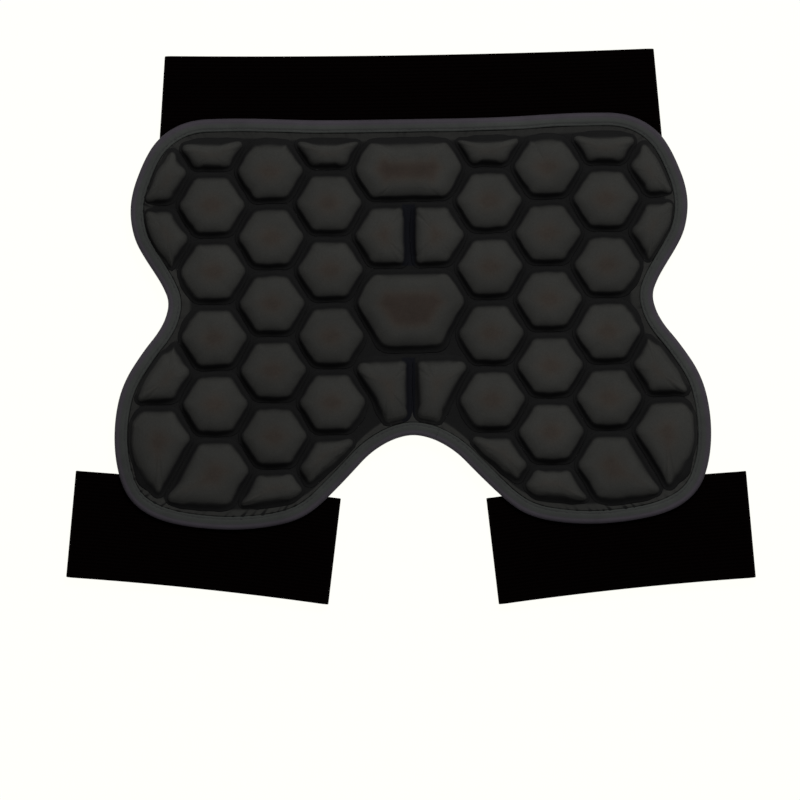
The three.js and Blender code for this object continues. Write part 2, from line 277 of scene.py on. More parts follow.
@dataclass
class Piece:
    """A mesh before it goes to Blender.

    Args:
        name: the object's name.
        vertices: points (n, 3) in metres.
        quads: faces of four corners (m, 4).
        triangles: faces of three corners (k, 3).
        marks: a number for each vertex, by attribute name, for the material to read.
        grid: how many rings of points it has, and how many points each has.
    """

    name: str
    vertices: Array
    quads: Array
    triangles: Array = field(default_factory=lambda: np.empty((0, 3), dtype=int))
    marks: dict[str, Array] = field(default_factory=dict)
    grid: tuple[int, int] = (0, 0)

    @classmethod
    def stacked(
        cls, name: str, rings: Array, ends: Sequence[Sequence[float]],
        marks: dict[str, tuple[Array, Sequence[float]]]
    ) -> Piece:
        """Close a stack of rings with a fan of triangles at either end.

        Args:
            name: the object's name.
            rings: points (rows, n, 3), from the bottom out and up to the top.
            ends: the points (2, 3) in the middle of the bottom and of the top.
            marks: by attribute name, the rings' values (rows, n) and those of the two ends.

        Returns:
            The closed piece.
        """
        rows, count = rings.shape[:2]
        size = rows * count
        triangles = np.concatenate([fan(0, count, size, upwards=False),
                                    fan(size - count, count, size + 1, upwards=True)])
        values = {mark: np.concatenate([inner.ravel(), outer]) for mark, (inner, outer) in marks.items()}
        vertices = np.concatenate([rings.reshape(-1, 3), ends])
        return cls(name, vertices, quad_strip(rows, count), triangles, values, (rows, count))

    def place(
        self, material: bpy.types.Material, slot: Slot, stands_for: Sequence[str] = ()
    ) -> bpy.types.Object:
        """Make the Blender object, dress it and tie it to the frame.

        Args:
            material: its finish.
            slot: the record's slot that the finish belongs to; not used.
            stands_for: the CAD nodes that it replaces.

        Returns:
            The object, at the origin and unturned.
        """
        mesh = bpy.data.meshes.new(self.name)
        corners = np.concatenate([self.quads.ravel(), self.triangles.ravel()]).astype(np.int32)
        starts = np.concatenate([np.arange(len(self.quads)) * 4,
                                 self.quads.size + np.arange(len(self.triangles)) * 3]).astype(np.int32)
        mesh.vertices.add(len(self.vertices))
        mesh.loops.add(len(corners))
        mesh.polygons.add(len(starts))
        mesh.vertices.foreach_set("co", self.vertices.astype(np.float32).ravel())
        mesh.loops.foreach_set("vertex_index", corners)
        mesh.polygons.foreach_set("loop_start", starts)
        mesh.polygons.foreach_set("use_smooth", np.ones(len(starts), dtype=bool))
        mesh.update(calc_edges=True)
        for mark, values in self.marks.items():
            layer = mesh.attributes.new(mark, "FLOAT", "POINT")
            layer.data.foreach_set("value", values.astype(np.float32))
        mesh.materials.append(material)
        piece = bpy.data.objects.new(self.name, mesh)
        bpy.context.collection.objects.link(piece)
        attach(piece, BODY)
        if stands_for:
            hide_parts(*stands_for)
        LOG.info("%s: %d faces", self.name, len(starts))
        return piece


# Finishes


def linear(colour: str) -> Colour:
    """Turn an sRGB hex colour to linear light.

    Args:
        colour: such as '#322f2d'.

    Returns:
        Red, green, blue and a full cover of 1.
    """
    share = np.array([int(colour[i:i + 2], 16) for i in (1, 3, 5)]) / 255
    light = np.where(share <= 0.04045, share / 12.92, ((share + 0.055) / 1.055) ** 2.4)
    return (*light.tolist(), 1.0)


def add_node(tree: Tree, kind: str, inputs: Settings | None = None, **settings: object) -> bpy.types.Node:
    """Add a node, set its options and fill or link its inputs.

    Args:
        tree: the material's node tree.
        kind: the node's type name.
        inputs: for each input, by name or number, a value or another node's output socket.
        settings: the node's own options.

    Returns:
        The node.
    """
    node = tree.nodes.new(kind)
    for option, value in settings.items():
        setattr(node, option, value)
    for key, value in (inputs or {}).items():
        if isinstance(value, bpy.types.NodeSocket):
            tree.links.new(value, node.inputs[key])
        else:
            node.inputs[key].default_value = value
    return node


@dataclass(frozen=True)
class Fabric:
    """What every fabric here shares: a dielectric fibre surface with a fine bump.

    Args:
        name: the material's name.
        roughness: of the fibres as a whole.
        specular: share of the usual gloss, low for loose fibres that trap light.
        sheen: the soft light that loose fibres catch at the edge of a form.
        sheen_tint: the colour of that light.
        relief: depth of the bump, in metres.
        clouds: the patches of brighter and duller fibre: the size of each kind, in metres, and how
            far its brightness goes up and down, as a share.
    """

    name: str
    roughness: float
    specular: float
    sheen: float
    sheen_tint: str
    relief: float
    clouds: tuple[tuple[float, float], ...] = ()

    def build(self) -> bpy.types.Material:
        """Make the material.

        Returns:
            A material whose colour and bump come from pattern().
        """
        material = bpy.data.materials.new(self.name)
        material.use_nodes = True
        tree = material.node_tree
        tree.nodes.clear()
        colour, height = self.pattern(tree)
        bump = add_node(tree, "ShaderNodeBump", {
            "Height": height, "Strength": 1.0, "Distance": self.relief})
        surface = add_node(tree, "ShaderNodeBsdfPrincipled", {
            "Base Color": colour, "Normal": bump.outputs["Normal"], "Roughness": self.roughness,
            "Specular IOR Level": self.specular, "Sheen Weight": self.sheen, "Sheen Roughness": 0.4,
            "Sheen Tint": linear(self.sheen_tint)})
        add_node(tree, "ShaderNodeOutputMaterial", {"Surface": surface.outputs["BSDF"]})
        return material

    def pattern(self, tree: Tree) -> tuple[Socket, Socket]:
        """Colour and bump height of the fabric, as sockets."""
        raise NotImplementedError

    def mottle(self, tree: Tree, place: Socket, colour: Socket) -> Socket:
        """Vary a colour's brightness by noise, once for each kind of cloud.

        Args:
            tree: the material's node tree.
            place: the coordinates that the noise reads, in metres.
            colour: the colour to vary.

        Returns:
            The varied colour.
        """
        for grain, depth in self.clouds:
            noise = add_node(tree, "ShaderNodeTexNoise", {
                "Vector": place, "Scale": 1 / grain, "Detail": 3.0, "Roughness": 0.55})
            share = add_node(tree, "ShaderNodeMapRange", {
                "Value": noise.outputs["Fac"], "From Min": 0.3, "From Max": 0.7, "To Min": 1 - depth,
                "To Max": 1 + depth})
            scaled = add_node(tree, "ShaderNodeVectorMath", {0: colour, 1: share.outputs[0]},
                              operation="MULTIPLY")
            colour = scaled.outputs[0]
        return colour

    @staticmethod
    def blend(
        tree: Tree, under: Socket | Colour, over: str, mask: Socket, span: tuple[float, float], fade: Fade
    ) -> Socket:
        """Lay one colour over another, by a mask.

        Args:
            tree: the material's node tree.
            under: the colour below.
            over: the hex colour above.
            mask: the values that decide.
            span: the mask's values where the upper colour begins and where it is full.
            fade: how it comes in between them.

        Returns:
            The blended colour.
        """
        share = add_node(tree, "ShaderNodeMapRange", {
            "Value": mask, "From Min": span[0], "From Max": span[1]}, interpolation_type=fade.value)
        mix = add_node(tree, "ShaderNodeMix", {
            "Factor": share.outputs[0], "A": under, "B": linear(over)}, data_type="RGBA")
        return mix.outputs["Result"]

    @staticmethod
    def weave(tree: Tree, first: Socket, second: Socket, pitch: tuple[float, float]) -> Socket:
        """Height of a plain weave or knit: the product of two sine waves.

        Args:
            tree: the material's node tree.
            first: the coordinate that the first wave runs along, in metres.
            second: the same for the second wave.
            pitch: length of each wave, in metres.

        Returns:
            A socket of heights from -1 to 1.
        """
        waves = []
        for coordinate, length in zip((first, second), pitch):
            turn = add_node(tree, "ShaderNodeMath", {0: coordinate, 1: 2 * np.pi / length},
                            operation="MULTIPLY")
            waves.append(add_node(tree, "ShaderNodeMath", {0: turn.outputs[0]}, operation="SINE"))
        product = add_node(tree, "ShaderNodeMath", {0: waves[0].outputs[0], 1: waves[1].outputs[0]},
                           operation="MULTIPLY")
        return product.outputs[0]


@dataclass(frozen=True)
class MouldedKnit(Fabric):
    """Polyester knit laminated on foam and moulded: matt, warm on a pad's face and cooler at its rim where
    the loops are stretched. Down in the grooves and up the lower walls a near-black painted shade stands
    in for the shade there, and in the upright slots between the middle pads a bluish-black one.

    Args:
        groove: the near-black painted shade at the groove floor and up the lower walls.
        crease_shade: a deeper painted shade down in the creases beside the seam.
        rim: colour where a pad's face turns down.
        face: colour in the middle of a pad's face.
        pressed: colour in the middle of the large pads, which are pressed and worn the most.
        slot: colour in the upright slots, a deeper, bluish-black painted shade.
        slot_width: their width.
        slots: where each begins and ends, up the panel.
        slot_heights: the heights that their colour keeps to, so that it stays off the lining.
        slot_blur: how far inside and outside its edge the slots' colour begins and ends to fade.
        loop_pitch: the knit's wales and courses. The real ones are about 0.6 mm, drawn coarser to show.
    """

    clouds: tuple[tuple[float, float], ...] = ((70 * MM, 0.1), (14 * MM, 0.06), (0.9 * MM, 0.12))
    groove: str = "#131313"
    crease_shade: str = "#070707"
    rim: str = "#2e2e2c"
    face: str = "#312d29"
    pressed: str = "#2b2521"
    slot: str = "#0b0c11"
    slot_width: float = 8.6 * MM
    slots: tuple[tuple[float, float], ...] = ((41 * MM, 82 * MM), (-64 * MM, -21 * MM))
    slot_heights: tuple[float, float] = (11.5 * MM, 30 * MM)
    slot_blur: tuple[float, float] = (0.4 * MM, 0.6 * MM)
    loop_pitch: tuple[float, float] = (1.1 * MM, 0.9 * MM)

    def band(self, tree: Tree, value: Socket, low: float, high: float) -> Socket:
        """A mask that is 1 between two values and fades to 0 just outside them.

        Args:
            tree: the material's node tree.
            value: the coordinate, in metres.
            low: where the band begins.
            high: where it ends.

        Returns:
            The mask.
        """
        middle, half = (low + high) / 2, (high - low) / 2
        away = add_node(tree, "ShaderNodeMath", {0: value, 1: middle}, operation="SUBTRACT")
        far = add_node(tree, "ShaderNodeMath", {0: away.outputs[0]}, operation="ABSOLUTE")
        mask = add_node(tree, "ShaderNodeMapRange", {
            "Value": far.outputs[0], "From Min": half - self.slot_blur[0],
            "From Max": half + self.slot_blur[1], "To Min": 1.0, "To Max": 0.0},
            interpolation_type=Fade.SOFT.value)
        return mask.outputs[0]

    def pattern(self, tree: Tree) -> tuple[Socket, Socket]:
        """Painted shade and colour by the rise and face marks, varied by lint and fibre noise, over a knit
        bump.

        Args:
            tree: the material's node tree.

        Returns:
            Colour and height.
        """
        place = add_node(tree, "ShaderNodeTexCoord").outputs["Object"]
        axes = add_node(tree, "ShaderNodeSeparateXYZ", {0: place})
        across, up = axes.outputs["X"], axes.outputs["Y"]
        # Mask of the upright slots between the middle pads, where the painted groove shade turns a deeper
        # bluish black.
        half = self.slot_width / 2
        upright = self.band(tree, across, SLOT_MIDDLE - half, SLOT_MIDDLE + half)
        spans = [self.band(tree, up, low, high) for low, high in self.slots]
        either = add_node(tree, "ShaderNodeMath", {0: spans[0], 1: spans[1]}, operation="ADD")
        mask = upright
        for other in (either.outputs[0], self.band(tree, axes.outputs["Z"], *self.slot_heights)):
            mask = add_node(tree, "ShaderNodeMath", {0: mask, 1: other}, operation="MULTIPLY").outputs[0]
        # Base colour: the near-black painted shade of the grooves and lower walls, bluish black in the
        # slots.
        colour = add_node(tree, "ShaderNodeMix", {
            "Factor": mask, "A": linear(self.groove), "B": linear(self.slot)}, data_type="RGBA")
        colour = colour.outputs["Result"]
        rise, face = (add_node(tree, "ShaderNodeAttribute", attribute_name=name).outputs["Fac"]
                      for name in ("rise", "face"))
        # Up the wall the rise mark lifts the painted shade: below 0 it deepens to the painted crease
        # shade, towards 1 it gives way to the pad's own rim colour, and the face tones follow.
        for over, mark, span, fade in (
                (self.crease_shade, rise, (-0.1, -0.7), Fade.EVEN), (self.rim, rise, (0.3, 1.0), Fade.SOFT),
                (self.face, face, (0.0, 0.6), Fade.EVEN), (self.pressed, face, (0.3, 1.0), Fade.SOFT)):
            colour = self.blend(tree, colour, over, mark, span, fade)
        return self.mottle(tree, place, colour), self.weave(tree, across, up, self.loop_pitch)


@dataclass(frozen=True)
class FoldedTape(Fabric):
    """Woven nylon binding tape, folded and pressed: smoother than the knit, with a low satin light, and
    a lighter lilac colour over the fold, which is a painted sheen.

    Args:
        flat: colour of the tape where it lies flat.
        folded: colour on the fold and past it, a lighter lilac painted sheen.
        fold_span: where the fold begins and ends, measured across the tape from its inner edge.
        rib_pitch: the weave's ribs along and across. Real ribs are finer and would not show.
    """

    clouds: tuple[tuple[float, float], ...] = ((60 * MM, 0.14), (9 * MM, 0.07), (0.7 * MM, 0.1))
    flat: str = "#303230"
    folded: str = "#353137"
    fold_span: tuple[float, float] = (4.2 * MM, 6.8 * MM)
    rib_pitch: tuple[float, float] = (1.2 * MM, 0.8 * MM)

    def pattern(self, tree: Tree) -> tuple[Socket, Socket]:
        """Two near colours, a little uneven, over a weave that follows the marks along and across.

        Args:
            tree: the material's node tree.

        Returns:
            Colour and height.
        """
        place = add_node(tree, "ShaderNodeTexCoord").outputs["Object"]
        along, across = (add_node(tree, "ShaderNodeAttribute", attribute_name=name).outputs["Fac"]
                         for name in ("along", "across"))
        # The lilac over the fold is a painted sheen laid on the tape's own flat colour.
        base = self.blend(tree, linear(self.flat), self.folded, across, self.fold_span, Fade.SOFT)
        return self.mottle(tree, place, base), self.weave(tree, along, across, self.rib_pitch)


@dataclass(frozen=True)
class RibbedElastic(Fabric):
    """Woven elastic webbing, dyed a deep black: rubber cords run along it as low ribs, and the yarn
    between them swallows nearly all light.

    Args:
        valley: colour between two ribs.
        rib: colour on a rib.
        rib_pitch: from rib to rib across the webbing.
        yarn_pitch: the yarn's step along it.
        yarn: height of the yarn as a share of a rib's.
    """

    valley: str = "#020101"
    rib: str = "#040202"
    rib_pitch: float = 2.4 * MM
    yarn_pitch: float = 1.6 * MM
    yarn: float = 0.3

    def pattern(self, tree: Tree) -> tuple[Socket, Socket]:
        """Two blacks and a bump by rib, which follow the marks along and across the webbing.

        Args:
            tree: the material's node tree.

        Returns:
            Colour and height.
        """
        along, across = (add_node(tree, "ShaderNodeAttribute", attribute_name=name).outputs["Fac"]
                         for name in ("along", "across"))
        turn = add_node(tree, "ShaderNodeMath", {0: across, 1: 2 * np.pi / self.rib_pitch},
                        operation="MULTIPLY")
        ribs = add_node(tree, "ShaderNodeMath", {0: turn.outputs[0]}, operation="COSINE")
        yarn = self.weave(tree, along, across, (self.yarn_pitch, self.rib_pitch))
        height = add_node(tree, "ShaderNodeMath", {0: yarn, 1: self.yarn, 2: ribs.outputs[0]},
                          operation="MULTIPLY_ADD").outputs[0]
        return self.blend(tree, linear(self.valley), self.rib, height, (-1.0, 1.0), Fade.EVEN), height


@dataclass(frozen=True)
class TwistedThread(Fabric):
    """Bonded polyester sewing thread, dark grey, with the slight shine of its twist.

    Args:
        colour: the thread's colour.
        twist: from ply to ply.
    """

    clouds: tuple[tuple[float, float], ...] = ((1.5 * MM, 0.1),)
    colour: str = "#2b292c"
    twist: float = 0.5 * MM

    def pattern(self, tree: Tree) -> tuple[Socket, Socket]:
        """One colour over a slanting bump.

        Args:
            tree: the material's node tree.

        Returns:
            Colour and height.
        """
        place = add_node(tree, "ShaderNodeTexCoord").outputs["Object"]
        axes = add_node(tree, "ShaderNodeSeparateXYZ", {0: place})
        plain = add_node(tree, "ShaderNodeRGB").outputs[0]
        plain.default_value = linear(self.colour)
        plies = self.weave(tree, axes.outputs["X"], axes.outputs["Y"], (self.twist, self.twist))
        return self.mottle(tree, place, plain), plies


# Pieces


@dataclass
class PadFoot:
    """Where one pad stands.

    Args:
        name: the CAD node's name.
        ring: the sharpened ring at the pad's foot (n, 2), anticlockwise.
        corner: for each point, 0 on a straight side to 1 at a corner.
        middle: the pad's middle (2,).
        levels: heights of the foot, the top of the wall, the shoulder and the crown.
    """

    name: str
    ring: Array
    corner: Array
    middle: Array
    levels: Array

    @classmethod
    def from_node(cls, node: bpy.types.Object, pads: FoamPads, seed: int) -> PadFoot:
        """Read a pad's foot, and push its corners out as taut cloth over cut foam does.

        Each point moves away from the mean of its neighbours: P + s (P - mean of the ring near P),
        where the bracket is at most the corner's height and s is the sharpness. That leaves straight
        sides alone and points the corners. The foam was cut and laid by hand, so the whole ring
        strays a little, by soft noise.

        Args:
            node: the CAD pad.
            pads: the sizes that all pads share.
            seed: picks the pad's own waver.

        Returns:
            The pad's foot.
        """
        points = vertices_of(node)
        levels = np.unique(points[:, 2].round(5))
        middle = points[np.argmax(points[:, 2]), :2]
        ring = round_off(level_ring(points, levels[0], middle)[None])
        ring = respace(ring, 3 * int(np.ceil(perimeter(ring[0]) / (3 * pads.grain))))[0]
        away = ring - calm(ring, int(pads.corner_window / pads.grain))
        corner = np.clip(np.linalg.norm(away, axis=1, keepdims=True) / pads.corner_height, 1e-6, None)
        away = away / np.maximum(corner, 1)
        stray = pads.waver * soft_noise(ring, pads.waver_length, seed)[:, None] * outward_normals(ring)
        ring = ring + pads.sharpness * away + stray
        return cls(node.name, ring, np.clip(corner[:, 0], 0, 1), middle, levels)

    def drawn_in(self, inset: Array) -> Array:
        """Draw the ring in towards the middle, so far that it ends an inset away from the old edge.

        Each point goes inset / cos(lean of its arm) along its arm, at most half the arm.

        Args:
            inset: distance between the two rings at each point (n,).

        Returns:
            The smaller ring (n, 2).
        """
        arm = self.middle - self.ring
        length = np.linalg.norm(arm, axis=1)
        squareness = np.clip(-(arm * outward_normals(self.ring)).sum(axis=1) / length, 0.6, 1.0)
        share = np.minimum(inset / (squareness * length), 0.5)
        return self.ring + share[:, None] * arm


@dataclass(frozen=True)
class CoverTension:
    """The cover's pull over the foam, found by one cloth simulation of all the pads' upper parts.

    The cloth is a coarser copy of each pad's surface from the shoulder to the middle, a hundred
    times as large, where the solver's masses and forces suit it. Its outer rows are held, the foam
    presses it up, and it is cut a little too small. The way that each of its points went then moves
    the pad's own points near it.

    Args:
        scale: how much larger than the pad the cloth is.
        pressure: of the foam.
        shrink: how much too small the cloth is cut, as a share.
        frames: steps of the simulation.
        furthest: what a point's move levels off at: m tanh(d / m), for a move d and this limit m.
        hold: how firmly the outer rows are held, from the outermost.
        row_step: rows of the pad for one row of the cloth.
        point_step: points round the pad for one of the cloth.
    """

    scale: float = 100.0
    pressure: float = 1.6
    shrink: float = 0.01
    frames: int = 20
    furthest: float = 1.2 * MM
    hold: tuple[float, ...] = (1.0, 0.7, 0.35, 0.15)
    row_step: int = 2
    point_step: int = 3

    def settle(self, pieces: Sequence[Piece], rows: int) -> None:
        """Simulate the pads' upper parts together and move their points, in place.

        Args:
            pieces: stacked pads, which end with the middle of the crown.
            rows: how many of the last rows the cloth covers.
        """
        grids = [piece.vertices[:-2].reshape(*piece.grid, 3)[-rows:] for piece in pieces]
        parts = [grid[::self.row_step, ::self.point_step] for grid in grids]
        rest = np.concatenate([np.concatenate([part.reshape(-1, 3), piece.vertices[-1:]])
                               for part, piece in zip(parts, pieces)])
        tips = np.cumsum([part.shape[0] * part.shape[1] + 1 for part in parts]) - 1
        held, quads, triangles = np.zeros(len(rest)), [], []
        for part, tip in zip(parts, tips):
            depth, width = part.shape[:2]
            start = tip - depth * width
            quads.append(start + quad_strip(depth, width))
            triangles.append(fan(tip - width, width, tip, upwards=True))
            held[start:start + len(self.hold) * width] = np.repeat(self.hold, width)
        faces = [*np.concatenate(quads).tolist(), *np.concatenate(triangles).tolist()]
        shift = self.simulate(rest, faces, held) - rest
        length = np.linalg.norm(shift, axis=1, keepdims=True)
        shift *= self.furthest * np.tanh(length / self.furthest) / np.maximum(length, 1e-9)
        for piece, grid, part, tip in zip(pieces, grids, parts, tips):
            own = shift[tip - part.shape[0] * part.shape[1]:tip].reshape(part.shape)
            grid += self.spread(own, grid.shape[:2])
            piece.vertices[-1] += shift[tip]
        LOG.info("cover tension: %d points moved, %.2f mm at most", len(shift), length.max() / MM)

    def spread(self, shift: Array, shape: tuple[int, int]) -> Array:
        """Interpolate the coarse cloth's shifts to a pad's finer grid, which closes on itself.

        Args:
            shift: shifts (rows, n, 3) of the cloth.
            shape: rows and points round of the finer grid.

        Returns:
            Shifts (*shape, 3).
        """
        for axis, step in enumerate((self.row_step, self.point_step)):
            place = np.arange(shape[axis]) / step
            low = place.astype(int)
            share = np.expand_dims(place - low, (1 - axis, 2))
            near, far = (np.take(shift, (low + k) % shift.shape[axis], axis=axis) for k in (0, 1))
            shift = (1 - share) * near + share * far
        return shift

    def simulate(self, rest: Array, faces: list[list[int]], held: Array) -> Array:
        """Run the cloth and read where its points end.

        Args:
            rest: the points (n, 3) at the start.
            faces: corners of each face.
            held: how firmly each point is held, 0 to 1.

        Returns:
            The points (n, 3) at the end.
        """
        mesh = bpy.data.meshes.new("cover_cloth")
        mesh.from_pydata((rest * self.scale).tolist(), [], faces)
        sheet = bpy.data.objects.new("cover_cloth", mesh)
        bpy.context.collection.objects.link(sheet)
        group = sheet.vertex_groups.new(name="held")
        for grip in self.hold:
            group.add(np.flatnonzero(held == grip).tolist(), grip, "REPLACE")
        cloth = sheet.modifiers.new("cloth", "CLOTH")
        cloth.settings.quality = 4
        cloth.settings.vertex_group_mass = group.name
        cloth.settings.use_pressure = True
        cloth.settings.uniform_pressure_force = self.pressure
        cloth.settings.shrink_min = self.shrink
        cloth.settings.effector_weights.gravity = 0.0
        cloth.collision_settings.use_collision = False
        scene = bpy.context.scene
        for frame in range(1, self.frames + 1):
            scene.frame_set(frame)
        moved = np.empty(rest.size, dtype=np.float32)
        evaluated = sheet.evaluated_get(bpy.context.evaluated_depsgraph_get())
        evaluated.data.vertices.foreach_get("co", moved)
        scene.frame_set(1)
        bpy.data.objects.remove(sheet)
        bpy.data.meshes.remove(mesh)
        return moved.reshape(-1, 3).astype(np.float64) / self.scale


@dataclass
class FoamPads:
    """The raised foam pads under their moulded cover, one piece for each CAD pad.

    Each pad rises from its solid's own foot ring. The cover's fillet at the foot reaches out over
    the groove, further at the corners and next to the binding, where the cloth slopes gently, and
    the shoulder is rounded into the crown.

    Args:
        grain: distance between two points round a pad, in metres.
        sharpness: how far the corners are pushed out.
        corner_window: how far along the ring a corner is felt, to either side.
        corner_height: how far a full corner stands out from the mean of the ring near it.
        waver: how far a pad's foot strays in and out.
        waver_length: from one such stray to the next.
        fillet: how far the cover's curve reaches out from a straight side over the groove.
        least: the least that it reaches out anywhere.
        furthest: the most that it reaches out.
        furthest_outer: the same for the outermost column, where the panel leaves more room.
        pad_gap: gap between its edge and the middle of a groove.
        tape_gap: gap between its edge and the tape.
        hover: gap between its edge and the panel below.
        fade: the length over which something near comes into effect.
        near: how many fades away it is still near.
        broad_calm: neighbours to either side that a reach or a share is evened out over.
        close_calm: the same for the corners.
        upright: how much of a side's normal points along the panel where it stands upright.
        tip_turn: how much of its arm points along the panel where a corner begins to be a tip, and
            how much more makes it a full one.
        slot_share: the share of the lean and shoulder that a side beside an upright slot gives up.
        lean: how far the steep wall leans in from foot to top.
        shoulder: how far the round shoulder reaches in from there.
        corner_share: the share of both that a tip, which points along the panel, gives up, as the
            cloth pulls it to a point.
        corner_round: the share that the other corners gain, which rounds them.
        tip_slope: how far a tip's wall gives way to a gentle slope, 0 to 1.
        corner_drop: how far the cloth pulls a corner down.
        toe: how high the fillet's curve leans above its edge.
        toe_rise: how much higher it leans for each unit of room beyond the usual fillet.
        wall_span: where the straight part of the wall begins and ends, as shares of its height.
        round_top: where the corner of the shoulder's curve lies between the wall and the shoulder.
        round_drop: how far it lies below the solid's shoulder.
        crown_start: where the crown begins, as shares of the way to the middle and of its height.
        slopes: for five rings from the fillet's curve to the crown's edge, the share of the room
            beyond the usual fillet that the ring is pushed out by: usually, and on a gentle slope.
        fillet_rows: rows of points in the curve at the foot.
        wall_rows: rows up the steep wall.
        shoulder_rows: rows round the shoulder.
        crown_rows: rows from the shoulder to the middle.
        unevenness: how far the moulded faces rise and fall.
        swells: from crest to crest of that, for the broad swell and the half as high small one.
        rise_gain: how much sooner the rise mark is full on a gentle slope, and at a corner.
        rise_drop: the share of a corner's drop at which it is full.
        margin_tone: the least rise mark beside the tape, where the painted shade is lifted as far as on
            the margin.
        face_depth: how far in from the crown's start a face is fully worn.
        small_wear: the most that a small pad is worn, where a large middle pad's wear is 1.
        large_depth: how much further in that is on a large pad, as a factor.
    """

    grain: float = 1.15 * MM
    sharpness: float = 1.1
    corner_window: float = 6.5 * MM
    corner_height: float = 1.4 * MM
    waver: float = 0.45 * MM
    waver_length: float = 17 * MM
    fillet: float = 2.0 * MM
    least: float = 0.15 * MM
    furthest: float = 4.2 * MM
    furthest_outer: float = 7.5 * MM
    pad_gap: float = 0.12 * MM
    tape_gap: float = 0.35 * MM
    hover: float = 0.06 * MM
    fade: float = 2 * MM
    near: float = 3.2
    broad_calm: int = 3
    close_calm: int = 2
    upright: float = 0.8
    tip_turn: tuple[float, float] = (0.65, 0.25)
    slot_share: float = 0.5
    lean: float = 2.3 * MM
    shoulder: float = 4.6 * MM
    corner_share: float = 0.72
    corner_round: float = 0.55
    tip_slope: float = 1.0
    corner_drop: float = 2.6 * MM
    toe: float = 0.1 * MM
    toe_rise: float = 0.3
    wall_span: tuple[float, float] = (0.4, 0.82)
    round_top: float = 0.35
    round_drop: float = 0.1 * MM
    crown_start: tuple[float, float] = (0.16, 0.25)
    slopes: tuple[tuple[float, float], ...] = (
        (0.9, 0.97), (0.62, 0.9), (0.38, 0.75), (0.25, 0.55), (0.05, 0.2))
    fillet_rows: int = 7
    wall_rows: int = 5
    shoulder_rows: int = 11
    crown_rows: int = 14
    unevenness: float = 0.16 * MM
    swells: tuple[float, float] = (26 * MM, 9 * MM)
    rise_gain: tuple[float, float] = (2.5, 0.4)
    rise_drop: float = 0.9
    margin_tone: float = 0.5
    face_depth: float = 8.0 * MM
    small_wear: float = 0.6
    large_depth: float = 1.1

    def nearness(self, distance: Array) -> Array:
        """1 close to something, which goes to 0 over one fade's length further out."""
        return np.clip(self.near - distance / self.fade, 0, 1)

    def reach_out(self, foot: PadFoot, tape_edge: Array, others: Array) -> tuple[Array, Array]:
        """Find how far the cover's curve reaches out over the groove, and where it meets the tape.

        It takes up half the gap to the next pad or the room before the tape, whichever is smaller.
        The least over a point's neighbours and then their mean keep it smooth.

        Args:
            foot: where the pad stands.
            tape_edge: the binding's inner edge (m, 2), which it stays clear of.
            others: the foot rings of all other pads (k, 2).

        Returns:
            The reach at each point (n,) in metres, and 1 where the tape is near, to 0 elsewhere.
        """
        gap = distance_to(foot.ring, others) / 2 - self.pad_gap
        room = distance_to(foot.ring, tape_edge) - self.tape_gap
        furthest = self.furthest_outer if "column4" in foot.name else self.furthest
        least = np.clip(np.minimum(gap, room), self.least, furthest)
        steps = range(-self.broad_calm, self.broad_calm + 1)
        least = np.min([np.roll(least, step) for step in steps], axis=0)
        nearer = np.clip((gap - room) / self.fade + 0.5, 0, 1)
        return calm(least, self.broad_calm), calm(nearer * self.nearness(room), self.broad_calm)

    def corners(self, foot: PadFoot) -> tuple[Array, Array]:
        """Tell the tips, which point along the panel, from the other corners.

        Args:
            foot: where the pad stands.

        Returns:
            1 at a tip to 0 elsewhere (n,), and the share of the lean and shoulder that each point
            keeps (n,): less at a tip and beside an upright slot, more at another corner.
        """
        arm = foot.ring - foot.middle
        start, span = self.tip_turn
        sideways = np.clip((np.abs(arm[:, 0]) / np.linalg.norm(arm, axis=1) - start) / span, 0, 1)
        tip = calm(sideways * foot.corner, self.close_calm)
        keep = 1 + self.corner_round * (foot.corner - tip) - self.corner_share * tip
        upright = np.abs(outward_normals(foot.ring)[:, 0]) > self.upright
        beside_slot = upright * self.nearness(np.abs(foot.ring[:, 0] - SLOT_MIDDLE))
        keep = keep * (1 - self.slot_share * calm(beside_slot, self.broad_calm))
        return tip, calm(keep, self.broad_calm)

    def shape(self, foot: PadFoot, panel_top: float, tape_edge: Array, others: Array, seed: int) -> Piece:
        """Work out one pad's surface.

        Rows of points go from the fillet's edge up the wall, round the shoulder and over the crown,
        which is a parabola up to the middle. The fillet and the shoulder are quadratic curves. Where
        there is room beyond the usual fillet, every ring is pushed out by a share of that room, less
        for higher rings, which turns the wall into a gentle slope. Soft noise lifts the crown.

        Args:
            foot: where the pad stands.
            panel_top: height of the panel's cover.
            tape_edge: the binding's inner edge (m, 2), which the fillet stays clear of.
            others: the foot rings of all other pads (k, 2).
            seed: picks the pad's own unevenness.

        Returns:
            The pad as a closed piece with marks for how far up and how far in each point is.
        """
        ring, middle = foot.ring, foot.middle
        floor, wall_top, shoulder_top, crown_top = foot.levels
        reach, taped = self.reach_out(foot, tape_edge, others)
        tip, keep = self.corners(foot)
        drop = self.corner_drop * calm(foot.corner, self.close_calm) ** 1.5
        wall = foot.drawn_in(self.lean * keep)
        shoulder = foot.drawn_in((self.lean + self.shoulder) * keep)

        normal, base, rise = outward_normals(ring), panel_top + self.hover, wall_top - floor
        beyond = np.maximum(reach - self.fillet, 0)
        gentle = np.maximum(taped, self.tip_slope * tip)
        (start, end), (inner, higher) = self.wall_span, self.crown_start
        rings = (
            (ring, base + self.toe + self.toe_rise * beyond),
            (ring + start * (wall - ring), floor + start * rise - 0.5 * drop),
            (ring + end * (wall - ring), floor + end * rise - drop),
            (wall + self.round_top * (shoulder - wall), shoulder_top - self.round_drop - drop),
            (shoulder + inner * (middle - shoulder),
             shoulder_top + higher * (crown_top - shoulder_top) - 0.5 * drop))
        curve, low, high, round_top, brow = (
            lift(flat + ((usual + (sloped - usual) * gentle) * beyond)[:, None] * normal, height)
            for (flat, height), (usual, sloped) in zip(rings, self.slopes))
        skirt = lift(ring + reach[:, None] * normal, base)

